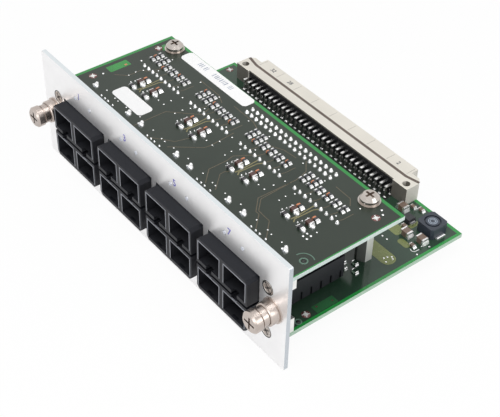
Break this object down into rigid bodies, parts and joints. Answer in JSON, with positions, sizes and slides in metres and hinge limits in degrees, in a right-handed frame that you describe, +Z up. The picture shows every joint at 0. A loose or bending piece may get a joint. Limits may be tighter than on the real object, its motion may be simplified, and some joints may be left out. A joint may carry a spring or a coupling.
{
  "type": "switch line card",
  "caption": "Plug-in switch line card: front panel with duplex fibre receptacles and captive screws, two stacked circuit boards and a pin-row rear connector.",
  "frame": {"origin": "middle of the front panel's lower edge, on the panel's rear face", "axes": "+X along the panel towards its right end, +Y from the panel towards the rear connector, +Z up"},
  "size_m": [0.135, 0.0948, 0.043],
  "materials": {
    "black_moulding": "fine matt",
    "block_metal": "satin",
    "bright_pins": "bright",
    "can_metal": "satin",
    "chip_black": "matt",
    "chip_brown": "matt",
    "chip_grey": "matt",
    "chip_tan": "matt",
    "chip_white": "matt",
    "connector_moulding": "matt",
    "header_moulding": "matt",
    "inductor_black": "matt",
    "inductor_core": "matt",
    "light_resin": "clear",
    "main_laminate": "semi-gloss",
    "mezzanine_laminate": "semi-gloss",
    "nickel_turned": "polished",
    "panel_paint": "satin",
    "plated_screws": "bright",
    "sleeve_plastic": "satin",
    "spring_steel": "satin",
    "sticker_paper": "matt",
    "tinned_pins": "bright"
  },
  "bodies": {
    "card": {"block_screws": "plated_screws", "bulk_capacitors": "chip_tan", "clock_oscillator": "can_metal", "connector_pins_a": "bright_pins", "connector_pins_b": "bright_pins", "connector_pins_c": "bright_pins", "controller_chip_left": "chip_black", "controller_chip_right": "chip_black", "ferrule_sleeves_lower": "sleeve_plastic", "ferrule_sleeves_upper": "sleeve_plastic", "front_panel": "panel_paint", "header_insulators": "header_moulding", "header_pins": "bright_pins", "header_socket": "header_moulding", "inductor_core": "inductor_core", "long_sticker": "sticker_paper", "main_board": "main_laminate", "main_board_chips": "chip_tan", "mezzanine_board": "mezzanine_laminate", "mezzanine_capacitors": "chip_white", "mezzanine_inductors": "chip_brown", "mezzanine_resistors": "chip_grey", "mounting_block_lower_left": "block_metal", "mounting_block_lower_right": "block_metal", "mounting_block_upper_left": "block_metal", "mounting_block_upper_right": "block_metal", "panel_screws": "plated_screws", "power_inductor": "inductor_black", "rear_connector_body": "connector_moulding", "rectifier_diode": "chip_black", "round_corner_sticker": "sticker_paper", "screw_ferrule_left": "nickel_turned", "screw_ferrule_right": "nickel_turned", "standoff_left": "block_metal", "standoff_right": "block_metal", "standoff_screws_lower": "plated_screws", "standoff_screws_upper": "plated_screws", "standoff_washers": "plated_screws", "status_lights": "light_resin", "transceiver_lower_1": "black_moulding", "transceiver_lower_2": "black_moulding", "transceiver_lower_3": "black_moulding", "transceiver_lower_4": "black_moulding", "transceiver_pins_lower": "tinned_pins", "transceiver_pins_upper": "tinned_pins", "transceiver_upper_1": "black_moulding", "transceiver_upper_2": "black_moulding", "transceiver_upper_3": "black_moulding", "transceiver_upper_4": "black_moulding"},
    "left_ring": {"retaining_ring_left": "spring_steel"},
    "left_screw": {"captive_screw_left": "nickel_turned"},
    "right_ring": {"retaining_ring_right": "spring_steel"},
    "right_screw": {"captive_screw_right": "nickel_turned"}
  },
  "joints": [
    {"name": "left_screw_slide", "type": "slide", "parent": "card", "child": "left_ring", "axis": [0, 1, 0], "range_m": [0, 0.0024]},
    {"name": "left_screw_turn", "type": "hinge", "parent": "left_ring", "child": "left_screw", "pos_m": [-0.0613, 0, 0.0215], "axis": [0, 1, 0], "continuous": true},
    {"name": "right_screw_slide", "type": "slide", "parent": "card", "child": "right_ring", "axis": [0, 1, 0], "range_m": [0, 0.0024]},
    {"name": "right_screw_turn", "type": "hinge", "parent": "right_ring", "child": "right_screw", "pos_m": [0.0613, 0, 0.0215], "axis": [0, 1, 0], "continuous": true}
  ]
}
